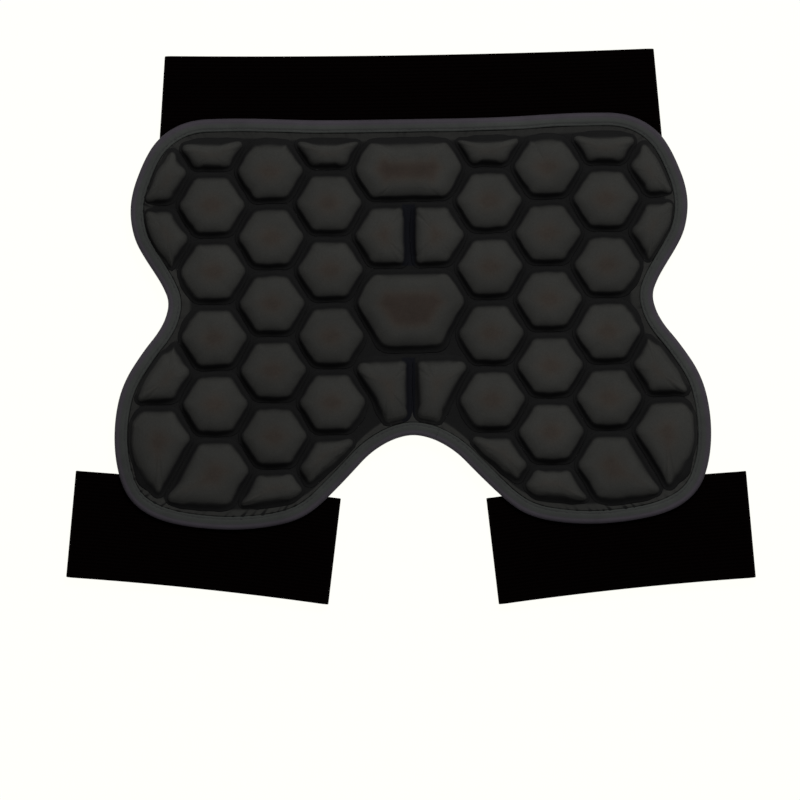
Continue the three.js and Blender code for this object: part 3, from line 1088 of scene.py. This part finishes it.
        climb = np.linspace(0.0, 1.0, self.wall_rows, endpoint=False)[:, None, None]
        inwards = np.linspace(0.0, 1.0, self.crown_rows, endpoint=False)[:, None]
        domed = brow[:, 2] + (crown_top - brow[:, 2]) * (1 - (1 - inwards) ** 2)
        crown = lift(brow[None, :, :2] + inwards[..., None] * (middle - brow[:, :2]), domed)
        rows = np.concatenate([bend(skirt, curve, low, self.fillet_rows), low + climb * (high - low),
                               bend(high, round_top, brow, self.shoulder_rows), crown])
        lifted = np.clip((rows[..., 2] - wall_top) / (crown_top - wall_top), 0, 1)
        broad, small = (soft_noise(rows, swell, seed + k) for k, swell in enumerate(self.swells))
        rows[..., 2] += self.unevenness * lifted * (broad + 0.5 * small)

        wear, full = self.small_wear, self.face_depth
        if "middle" in foot.name:
            wear, full = 1.0, self.large_depth * self.face_depth
        face = np.zeros(rows.shape[:2])
        face[-self.crown_rows:] = wear * np.clip(distance_to(crown[..., :2], brow[::3, :2]) / full, 0, 1)
        # The rise mark sets the painted shade: near black at 0 down at the foot, the pad's own colour at
        # 1. It is full sooner on gentle slopes, at corners and beside the tape, so the painted shade is
        # lighter there.
        climbed = np.clip((rows[..., 2] - base) / (shoulder_top - self.rise_drop * drop - base), 0, 1)
        sooner = 1 + self.rise_gain[0] * np.maximum(taped, tip) + self.rise_gain[1] * foot.corner
        risen = np.maximum(np.clip(climbed * sooner, 0, 1), self.margin_tone * taped)
        return Piece.stacked(f"foam_{foot.name}", rows, [[*middle, base], [*middle, crown_top]],
                             {"face": (face, (0.0, wear)), "rise": (risen, (0.0, 1.0))})

    def build(self, nodes: Nodes, panel: PaddedPanel, cover: bpy.types.Material) -> None:
        """Make and place every pad.

        Args:
            nodes: the frame's CAD nodes by name.
            panel: the panel that the pads stand on.
            cover: the cover's material.
        """
        tape_edge = panel.inset_ring(panel.tape_reach)
        names = sorted(name for name in nodes if name.startswith("pad_"))
        feet = [PadFoot.from_node(nodes[name], self, 500 + seed) for seed, name in enumerate(names)]
        pieces = []
        for seed, foot in enumerate(feet):
            others = np.concatenate([other.ring for other in feet if other is not foot])
            pieces.append(self.shape(foot, panel.top, tape_edge, others, 3 * seed))
        CoverTension().settle(pieces, self.shoulder_rows + self.crown_rows)
        for foot, piece in zip(feet, pieces):
            piece.place(cover, Slot.COVER, [foot.name])


class PulledPlace(NamedTuple):
    """A place where the seam gathers the cover, in metres, with its reach and its pull."""

    across: float
    up: float
    reach: float
    pull: float


PULLED_PLACES = (
    PulledPlace(across=-97 * MM, up=-132 * MM, reach=20 * MM, pull=1.0),
    PulledPlace(across=-178 * MM, up=-118 * MM, reach=24 * MM, pull=0.9),
    PulledPlace(across=140 * MM, up=-130 * MM, reach=24 * MM, pull=0.7),
    PulledPlace(across=-188 * MM, up=86 * MM, reach=9 * MM, pull=0.9),
)


@dataclass
class PaddedPanel:
    """The flat panel under the pads: lining below, foam, and the cover drawn tight in the grooves.

    Args:
        outline: the panel's outer edge (n, 2), evenly spaced and anticlockwise.
        bottom: height of the lining.
        lip_bottom: height of the pressed edge's lower side.
        lip_top: height of the pressed edge's upper side.
        top: height of the cover in the grooves.
        tape_reach: how far the binding reaches in over the edge.
        slab_gap: gap between the binding and the panel's full thickness.
        lip_inset: how far inside the outline the pressed edge ends.
        lining_rows: rings of points in the lining.
        cover_rows: rings of points from the binding to the middle of the cover.
        cover_depth: how far in the rings are counted, in metres.
        cover_end: the share of the way to the middle that the last ring comes.
        settling: how far the cover sinks here and there.
        settling_length: from one such place to the next.
        pucker: depth of the gathers beside the binding's seam.
        pucker_length: from gather to gather along the seam.
        pucker_fade: how far in the gathers reach.
        wander: how far the gathers stray from an even pace, in radians, and over what length.
        weights: a gather's usual weight, how far that goes up and down, and over what length.
        reaches: a gather's usual length, how far that goes up and down, and its pace along the seam,
            all as shares.
        calm_strain: the seam's pull where the cover lies calm.
        margin: how far in from the tape the margin ends, where the painted groove shade is lifted.
        margin_fade: the length over which it ends.
        margin_tones: the margin's rise mark, and what is added where it faces down the panel, a painted
            light.
        lining_start: where the lining's first ring lies, as a share of the way to its edge.
        cover_pace: the power that spaces the cover's rings.
    """

    outline: Array
    bottom: float
    lip_bottom: float
    lip_top: float
    top: float
    tape_reach: float = 8.2 * MM
    slab_gap: float = 0.35 * MM
    lip_inset: float = 1.3 * MM
    lining_rows: int = 12
    cover_rows: int = 50
    cover_depth: float = 130 * MM
    cover_end: float = 0.97
    settling: float = 0.12 * MM
    settling_length: float = 18 * MM
    pucker: float = 1.0 * MM
    pucker_length: float = 6.6 * MM
    pucker_fade: float = 3.4 * MM
    wander: tuple[float, float] = (3.0, 24 * MM)
    weights: tuple[float, float, float] = (0.7, 0.8, 13 * MM)
    reaches: tuple[float, float, float] = (0.55, 0.45, 0.31)
    calm_strain: float = 0.12
    margin: float = 9 * MM
    margin_fade: float = 4 * MM
    margin_tones: tuple[float, float] = (0.66, 0.14)
    lining_start: float = 0.08
    cover_pace: float = 1.7

    @classmethod
    def from_frame(cls, nodes: Nodes, stations: int = 1200) -> PaddedPanel:
        """Read the panel's outline and levels from the CAD's binding and panel.

        Args:
            nodes: the frame's CAD nodes by name.
            stations: how many points the outline gets.

        Returns:
            The panel's sizes.
        """
        binding = vertices_of(nodes["edge_binding"])
        widest = np.unique(binding[:, 2].round(5))[2]
        middle = (binding[:, :2].min(axis=0) + binding[:, :2].max(axis=0)) / 2
        ring = level_ring(binding, widest, middle, start=-np.pi / 2)
        levels = np.unique(vertices_of(nodes["padded_panel"])[:, 2].round(5)).tolist()
        return cls(respace(round_off(ring[None]), stations)[0], *levels)

    def inset_ring(self, distance: float | Array) -> Array:
        """The outline drawn in by a distance along its normals: (n, 2)."""
        return self.outline - np.reshape(distance, (-1, 1)) * outward_normals(self.outline)

    def strain(self) -> Array:
        """How hard the seam pulls: a little all round, most at the four pulled places, where the cloth
        is drawn round a tight curve. Each place adds a bell curve of its reach.

        Returns:
            The pull at each outline point (n,), 0 to about 1.
        """
        places = np.array(PULLED_PLACES)
        away = np.linalg.norm(self.outline[:, None] - places[None, :, :2], axis=-1)
        return self.calm_strain + (places[:, 3] * np.exp(-((away / places[:, 2]) ** 2))).sum(axis=1)

    def gathers(self, inwards: Array) -> Array:
        """Depth of the small creases where the seam draws the cover in, 0 to about 1.

        Creases stand square to the seam. They are the square of a sine wave's upper half, whose pace
        and weight wander by soft noise, times the seam's strain. They fade with the distance from the
        tape, over a length that itself goes up and down more slowly.

        Args:
            inwards: distance in from the tape (rows, n).

        Returns:
            Depths (rows, n) as shares of the pucker depth.
        """
        along = lengths_along(self.outline)
        wander = self.wander[0] * soft_noise(self.outline, self.wander[1], 31)
        usual, swing, wavelength = self.weights
        weight = np.clip(usual + swing * soft_noise(self.outline, wavelength, 32), 0, 1.2)
        pace = 2 * np.pi * np.round(along[-1] / self.pucker_length) / along[-1]
        wave = weight * np.clip(np.sin(along * pace + wander), 0, None) ** 2
        usual, swing, slower = self.reaches
        length = usual + swing * np.sin(along * pace * slower + 2 * wander)
        return np.clip(self.strain() * wave, 0, 1) * np.exp(-inwards / (self.pucker_fade * length))

    def build(self, cover: bpy.types.Material) -> None:
        """Make the closed panel, from the lining's middle out to the edge and back over the cover.

        The lining's rings are the slab's edge, drawn in by even shares. The cover's go the same way by
        rising steps, share ** pace, so that they lie close beside the tape, where the gathers are.

        Args:
            cover: the cover's material.
        """
        middle = self.outline.mean(axis=0) * [0, 1]
        slab, lip = self.inset_ring(self.tape_reach + self.slab_gap), self.inset_ring(self.lip_inset)
        arm = slab - middle
        shares = np.linspace(self.lining_start, 1.0, self.lining_rows)[:, None, None]
        lining = lift(middle + shares * arm, self.bottom)
        edge = np.stack([lift(slab, self.lip_bottom), lift(lip, self.lip_bottom), lift(lip, self.lip_top),
                         lift(slab, self.lip_top)])
        inwards = self.cover_depth * np.linspace(0.0, 1.0, self.cover_rows)[:, None] ** self.cover_pace
        share = self.cover_end * (inwards / inwards[-1])
        place = middle + (1 - share)[..., None] * arm
        gap = share * np.linalg.norm(arm, axis=1)
        creases = self.gathers(gap)
        settled = self.settling * np.abs(soft_noise(place, self.settling_length, 7))
        rows = np.concatenate([lining, edge, lift(place, self.top - self.pucker * creases - settled)])
        # Beside the tape the margin lifts the painted groove shade, more along edges that face down the
        # panel, painted light there; the gathers push the rise mark below 0, where the knit lays its
        # deeper painted crease shade.
        facing_down = np.clip(0.5 - 1.5 * outward_normals(self.outline)[:, 1], 0, 1)
        tone = self.margin_tones[0] + self.margin_tones[1] * facing_down
        margin = tone * np.clip((self.margin - gap) / self.margin_fade, 0, 1)
        rise = np.zeros(rows.shape[:2])
        rise[-self.cover_rows:] = margin - (1 + margin) * creases
        piece = Piece.stacked("moulded_panel", rows, [[*middle, self.bottom], [*middle, self.top]],
                              {"face": (np.zeros_like(rise), (0.0, 0.0)), "rise": (rise, (0.0, 0.0))})
        piece.place(cover, Slot.COVER, ["padded_panel"])


@dataclass
class EdgeBinding:
    """The tape folded round the panel's edge, and its row of stitches.

    Args:
        panel: the panel that it binds.
        bottom: height of the tape's underside.
        top: height of its upper side.
        thickness: of the tape.
        slack: how far below its full height the tape lies flat.
        fold: how far in the rounded fold reaches.
        fullness: how far the fold bulges past the outline.
        crowning: how much the tape is rounded across its width.
        press: how deep the inner edge is pressed.
        press_width: how far from the edge that reaches.
        seam_inset: where the row of stitches runs.
        seam_dip: how deep the stitches press the tape.
        seam_width: how far to either side that reaches.
        flat_points: points across each flat side of the tape.
        fold_points: points round the fold.
        waver: how far the tape's width wanders.
        waver_length: over what length.
        bumps: for the small and the broad bumps along the tape, their height and length.
        fold_bumps: the share of their height that the bumps have at the outline. It rises by 1 to the
            tape's inner edge.
        pinch: how far a gather draws the tape's inner edge out.
        stitch_pitch: from stitch to stitch.
        stitch_length: of one stitch.
        thread: radius of the thread.
        thread_end: the share of its radius that a stitch has left where it dives into the tape.
        thread_lift: how far the middle of the thread lies out of the dip, as a share of its radius.
        thread_bite: how much shallower than the dip the thread lies.
    """

    panel: PaddedPanel
    bottom: float
    top: float
    thickness: float = 1.0 * MM
    slack: float = 0.2 * MM
    fold: float = 2.4 * MM
    fullness: float = 0.5 * MM
    crowning: float = 0.4 * MM
    press: float = 0.3 * MM
    press_width: float = 0.4 * MM
    seam_inset: float = 6.5 * MM
    seam_dip: float = 0.35 * MM
    seam_width: float = 0.55 * MM
    flat_points: int = 16
    fold_points: int = 13
    waver: float = 0.22 * MM
    waver_length: float = 34 * MM
    bumps: tuple[tuple[float, float], ...] = ((0.12 * MM, 8 * MM), (0.15 * MM, 22 * MM))
    fold_bumps: float = 0.4
    pinch: float = 0.9 * MM
    stitch_pitch: float = 3.6 * MM
    stitch_length: float = 2.8 * MM
    thread: float = 0.26 * MM
    thread_end: float = 0.25
    thread_lift: float = 0.6
    thread_bite: float = 0.05 * MM

    @classmethod
    def from_frame(cls, nodes: Nodes, panel: PaddedPanel) -> EdgeBinding:
        """Read the tape's levels from the CAD's binding."""
        heights = vertices_of(nodes["edge_binding"])[:, 2]
        return cls(panel, float(heights.min()), float(heights.max()))

    def section(self) -> tuple[Array, Array]:
        """The folded tape's outline as insets and heights, from its upper inner edge round the fold.

        The upper side is level with a dip at the stitches and a pressed inner edge, both bell curves.
        The fold is half an ellipse. The lower side mirrors the upper one, and the way back is the
        inside of the tape.

        Returns:
            Insets (k,) and heights (k,), closed, running outwards over the top.
        """
        reach, half = self.panel.tape_reach, (self.top - self.bottom) / 2
        middle = (self.top + self.bottom) / 2
        flat = np.linspace(reach, self.fold, self.flat_points)
        dip = self.seam_dip * np.exp(-((flat - self.seam_inset) / self.seam_width) ** 2)
        press = self.press * np.exp(-((flat - reach) / self.press_width) ** 2)
        crowned = self.crowning * np.sin(np.pi * np.clip((reach - flat) / (reach - self.fold), 0, 1))
        upper = half - self.slack - dip - press + crowned
        turn = np.linspace(0.0, np.pi, self.fold_points + 2)[1:-1]
        fold_inset = self.fold - (self.fold + self.fullness) * np.sin(turn)
        fold_rise = half * np.cos(turn)
        inner = np.array([reach, self.thickness, self.thickness, reach])
        inner_rise = (half - self.thickness) * np.array([-1, -1, 1, 1])
        insets = np.concatenate([flat, fold_inset, flat[::-1], inner])
        rises = np.concatenate([upper, fold_rise, -upper[::-1], inner_rise])
        return insets, middle + rises

    def build_tape(self, tape: bpy.types.Material) -> None:
        """Carry the section round the outline, with a slight waver in its width and height.

        Args:
            tape: the tape's material.
        """
        outline = self.panel.outline
        insets, heights = self.section()
        wander = self.waver * soft_noise(outline, self.waver_length, 21)
        gather = sum(height * soft_noise(outline, length, seed)
                     for seed, (height, length) in enumerate(self.bumps, start=22))
        pinch = self.pinch * self.panel.gathers(np.zeros((1, len(outline))))[0]
        share = (insets / self.panel.tape_reach)[:, None]
        inset = insets[:, None] + share * wander - share**3 * pinch
        upper = (heights > (self.top + self.bottom) / 2)[:, None]
        height = heights[:, None] + np.where(upper, gather * (self.fold_bumps + share), 0.0)
        rows = lift(outline - inset[..., None] * outward_normals(outline), height)
        across = lengths_along(np.column_stack([insets, heights]))
        marks = {"along": np.tile(lengths_along(outline), len(insets)),
                 "across": np.repeat(across, len(outline))}
        faces = quad_strip(len(insets), len(outline), closed_rows=True)[:, ::-1]
        piece = Piece("folded_edge_tape", rows.reshape(-1, 3), faces, marks=marks)
        piece.place(tape, Slot.BINDING, ["edge_binding"])

    def build_stitches(self, thread: bpy.types.Material) -> None:
        """Lay one short sunk thread after another along the seam, above and below.

        A stitch is a tube of six sides whose radius and height follow half a sine, so that it rises
        out of the tape and dives back.

        Args:
            thread: the thread's material.
        """
        seam = self.panel.inset_ring(self.seam_inset)
        count = int(perimeter(seam) / self.stitch_pitch)
        ring, ahead = respace(np.stack([seam, np.roll(seam, -1, axis=0)]), count)
        forwards = ahead - ring
        forwards /= np.linalg.norm(forwards, axis=1, keepdims=True)
        sideways = np.stack([forwards[:, 1], -forwards[:, 0]], axis=1)
        stretch = np.linspace(-0.5, 0.5, 5)
        turn = np.arange(6) * np.pi / 3
        run = stretch[None, :, None] * self.stitch_length
        swell = np.cos(stretch * np.pi) * (1 - self.thread_end) + self.thread_end
        radius = self.thread * swell[None, :, None]
        across, rise = radius * np.cos(turn), radius * (np.sin(turn) + self.thread_lift)
        flat = (ring[:, None, None] + run[..., None] * forwards[:, None, None]
                + across[..., None] * sideways[:, None, None])
        dipped = self.seam_dip - self.thread_bite
        stitches = np.concatenate([lift(flat, self.top - dipped + rise),
                                   lift(flat, self.bottom + dipped - rise)])
        one = quad_strip(len(stretch), len(turn))
        faces = np.arange(2 * count)[:, None, None] * stretch.size * turn.size + one[None]
        faces[count:] = faces[count:, :, ::-1]
        piece = Piece("binding_stitches", stitches.reshape(-1, 3), faces.reshape(-1, 4))
        piece.place(thread, Slot.BINDING)


@dataclass
class ElasticLoop:
    """A whole loop of wide elastic that lies flattened: two walls joined by two round folds.

    Args:
        name: the CAD node's name.
        upper_edge: the webbing's upper edge along the flat stretch, as points (n, 2).
        lower_edge: the same for the lower edge.
        height: of the flattened loop.
        thickness: of the elastic.
        selvedge: how far the rounded selvedges stand out.
        ripple: how far its upper wall sinks here and there.
        ripple_length: from one such place to the next.
        face_points: points across each face of the webbing.
        selvedge_points: points round a selvedge.
        fold_points: points round a fold.
        seed: picks the ripple.
    """

    name: str
    upper_edge: Array
    lower_edge: Array
    height: float
    thickness: float = 1.8 * MM
    selvedge: float = 0.45 * MM
    ripple: float = 0.25 * MM
    ripple_length: float = 60 * MM
    face_points: int = 27
    selvedge_points: int = 4
    fold_points: int = 15
    seed: int = 0

    @classmethod
    def from_frame(
        cls, node: bpy.types.Object, seed: int, slack: float = 0.9 * MM, stations: int = 120
    ) -> ElasticLoop:
        """Read a loop's two edges from the flat stretch of its CAD node.

        The stretch's long direction comes from its spread. Each edge is fitted with a parabola, which
        is the sag that the CAD gives it.

        Args:
            node: the CAD loop.
            seed: picks the ripple.
            slack: how much further than the solid the soft loop lies at each end.
            stations: points along each edge.

        Returns:
            The loop's sizes.
        """
        points = vertices_of(node)
        floor = points[points[:, 2] < SAME_LEVEL][:, :2]
        centre = floor.mean(axis=0)
        _, _, axes = np.linalg.svd(floor - centre)
        long_way = axes[0] * np.sign(axes[0, 0])
        high_way = np.array([-long_way[1], long_way[0]])
        run, rise = (floor - centre) @ long_way, (floor - centre) @ high_way
        edges = []
        for side in (rise > 0, rise < 0):
            curve = np.polyfit(run[side], rise[side], 2)
            steps = np.linspace(run[side].min() - slack, run[side].max() + slack, stations)
            edges.append(centre + steps[:, None] * long_way + np.polyval(curve, steps)[:, None] * high_way)
        return cls(node.name, edges[0], edges[1], float(points[:, 2].max()), seed=seed)

    def section(self, width: float) -> tuple[Array, Array]:
        """The webbing's section: its outer face, a half round selvedge, its inner face, the other one.

        Args:
            width: of the webbing, in metres.

        Returns:
            Places across, as shares of the width (k,), and depths below the outer face (k,).
        """
        bulge = np.linspace(0, np.pi, self.selvedge_points + 2)[1:-1]
        margin, past = self.selvedge / width, self.selvedge * np.sin(bulge) / width
        inside = margin + (1 - 2 * margin) * np.linspace(0.0, 1.0, self.face_points)
        across = np.concatenate([inside, 1 - margin + past, inside[::-1], margin - past])
        depth = np.concatenate([np.zeros(self.face_points), self.thickness * (1 - np.cos(bulge)) / 2,
                                np.full(self.face_points, self.thickness),
                                self.thickness * (1 + np.cos(bulge)) / 2])
        return across, depth

    def build(self, elastic: bpy.types.Material) -> None:
        """Make the loop: a section across the webbing, carried round the flattened path.

        The path runs along the lower wall, up round one fold, back and down the other.

        Args:
            elastic: the elastic's material.
        """
        width = float(np.linalg.norm(self.upper_edge - self.lower_edge, axis=1).mean())
        across, depth = self.section(width)
        stations = np.arange(len(self.upper_edge))
        turn = np.linspace(0, np.pi, self.fold_points + 2)[1:-1]
        level = np.zeros(len(stations))
        angle = np.concatenate([level, turn, level + np.pi, np.pi + turn])
        out = np.concatenate([level, np.sin(turn), level, np.sin(np.pi + turn)])
        pick = np.concatenate([stations, np.repeat(stations[-1], self.fold_points), stations[::-1],
                               np.repeat(stations[0], self.fold_points)])
        upper, lower = self.upper_edge[pick], self.lower_edge[pick]
        ends = self.upper_edge[-1] - self.upper_edge[0] + self.lower_edge[-1] - self.lower_edge[0]
        radius = self.height / 2
        reach = radius - depth[:, None]
        flat = (lower + across[:, None, None] * (upper - lower)
                + (reach * out)[..., None] * (ends / np.linalg.norm(ends)))
        lifted = np.where(np.abs(np.sin(angle / 2)) > 0.5, 1.0, 0.0)
        sunk = np.minimum(soft_noise(flat, self.ripple_length, self.seed), 0)
        height = radius - reach * np.cos(angle) + self.ripple * lifted * sunk * (1 - np.abs(out))
        rows = lift(flat, height)
        along = lengths_along(rows[self.face_points // 2])
        marks = {"along": np.tile(along, len(across)), "across": np.repeat(across * width, len(along))}
        faces = quad_strip(len(across), len(along), closed_rows=True)
        piece = Piece(f"ribbed_{self.name}", rows.reshape(-1, 3), faces, marks=marks)
        piece.place(elastic, Slot.ELASTIC, [self.name])


@dataclass
class Studio:
    """White floor, soft light from the photo's upper side, and the camera straight above.

    Args:
        picture_side: the photograph's side in pixels.
        object_place: the object's middle in the photograph, in pixels from its upper left corner.
        pixel: size of one photograph pixel on the object, in metres.
        focus_height: the height at which a pixel has that size.
        camera_height: of the lens above the object.
        sensor: width of the sensor.
        floor_side: of the pale floor.
        floor_drop: how far below the object it lies.
        lamp_place: where the softbox hangs, in metres.
        lamp_side: length of its side.
        lamp_power: in watts.
        room: colour of the room round about.
        room_light: its strength.
    """

    picture_side: int = 800
    object_place: tuple[float, float] = (411.0, 326.5)
    pixel: float = 0.6723 * MM
    focus_height: float = 14 * MM
    camera_height: float = 8.0
    sensor: float = 36.0
    floor_side: float = 6.0
    floor_drop: float = 0.2 * MM
    lamp_place: tuple[float, float, float] = (0.3, 0.84, 1.5)
    lamp_side: float = 0.42
    lamp_power: float = 21.3
    room: str = "#f4f4f6"
    room_light: float = 0.36

    def build_camera(self) -> None:
        """Aim straight down at the point under the picture's middle, at the photograph's scale."""
        data = bpy.data.cameras.new("camera")
        data.sensor_width = self.sensor
        data.lens = self.sensor * self.camera_height / (self.picture_side * self.pixel)
        data.clip_end = 20.0
        camera = bpy.data.objects.new("camera", data)
        across = (self.picture_side / 2 - self.object_place[0]) * self.pixel
        down = (self.object_place[1] - self.picture_side / 2) * self.pixel
        camera.location = (across, down, self.focus_height + self.camera_height)
        bpy.context.collection.objects.link(camera)
        bpy.context.scene.camera = camera

    def build_floor(self) -> None:
        """A white floor that glows a little, as a light table does, so that it stays plain white."""
        half = self.floor_side / 2
        square = ((-half, -half), (half, -half), (half, half), (-half, half))
        mesh = bpy.data.meshes.new("floor")
        mesh.from_pydata([(*corner, -self.floor_drop) for corner in square], [], [(0, 1, 2, 3)])
        material = bpy.data.materials.new("white_light_table")
        material.use_nodes = True
        surface = material.node_tree.nodes["Principled BSDF"]
        for socket, value in {"Base Color": linear("#303030"), "Roughness": 0.9, "Specular IOR Level": 0.0,
                              "Emission Color": linear("#fffff9"), "Emission Strength": 1.0}.items():
            surface.inputs[socket].default_value = value
        mesh.materials.append(material)
        floor = bpy.data.objects.new("floor", mesh)
        bpy.context.collection.objects.link(floor)

    def build_lights(self) -> None:
        """Hang one square softbox that faces the object, in a pale room."""
        data = bpy.data.lights.new("key_softbox", "AREA")
        data.shape = "SQUARE"
        data.size = self.lamp_side
        data.energy = self.lamp_power
        lamp = bpy.data.objects.new("key_softbox", data)
        lamp.location = self.lamp_place
        lamp.rotation_euler = (-Vector(self.lamp_place)).to_track_quat("-Z", "Y").to_euler()
        bpy.context.collection.objects.link(lamp)
        world = bpy.data.worlds.new("pale_room")
        world.use_nodes = True
        background = world.node_tree.nodes["Background"]
        background.inputs["Color"].default_value = linear(self.room)
        background.inputs["Strength"].default_value = self.room_light
        bpy.context.scene.world = world

    def build(self) -> None:
        """Set up the camera, the floor, the lights and a plain view of the colours."""
        self.build_camera()
        self.build_floor()
        self.build_lights()
        bpy.context.scene.view_settings.view_transform = "Standard"
        bpy.context.scene.view_settings.look = "None"


def main() -> None:
    """Build the studio and every piece."""
    logging.basicConfig(level=logging.INFO, format="%(message)s")
    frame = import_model()
    nodes = frame["nodes"]
    Studio().build()

    knit = MouldedKnit("moulded_polyester_knit", roughness=0.9, specular=0.1, sheen=0.02,
                       sheen_tint="#b8b0c4", relief=0.05 * MM).build()
    tape = FoldedTape("folded_nylon_tape", roughness=0.75, specular=0.15, sheen=0.02,
                      sheen_tint="#b8b0c4", relief=0.05 * MM).build()
    elastic = RibbedElastic("ribbed_black_elastic", roughness=1.0, specular=0.0, sheen=0.05,
                            sheen_tint="#b4a8a8", relief=0.12 * MM).build()
    thread = TwistedThread("bonded_polyester_thread", roughness=0.6, specular=0.3, sheen=0.0,
                           sheen_tint="#ffffff", relief=0.05 * MM).build()

    panel = PaddedPanel.from_frame(nodes)
    panel.build(knit)
    FoamPads().build(nodes, panel, knit)
    binding = EdgeBinding.from_frame(nodes, panel)
    binding.build_tape(tape)
    binding.build_stitches(thread)
    for seed, name in enumerate(("waist_loop", "left_thigh_loop", "right_thigh_loop")):
        ElasticLoop.from_frame(nodes[name], seed).build(elastic)


if __name__ == "__main__":
    main()
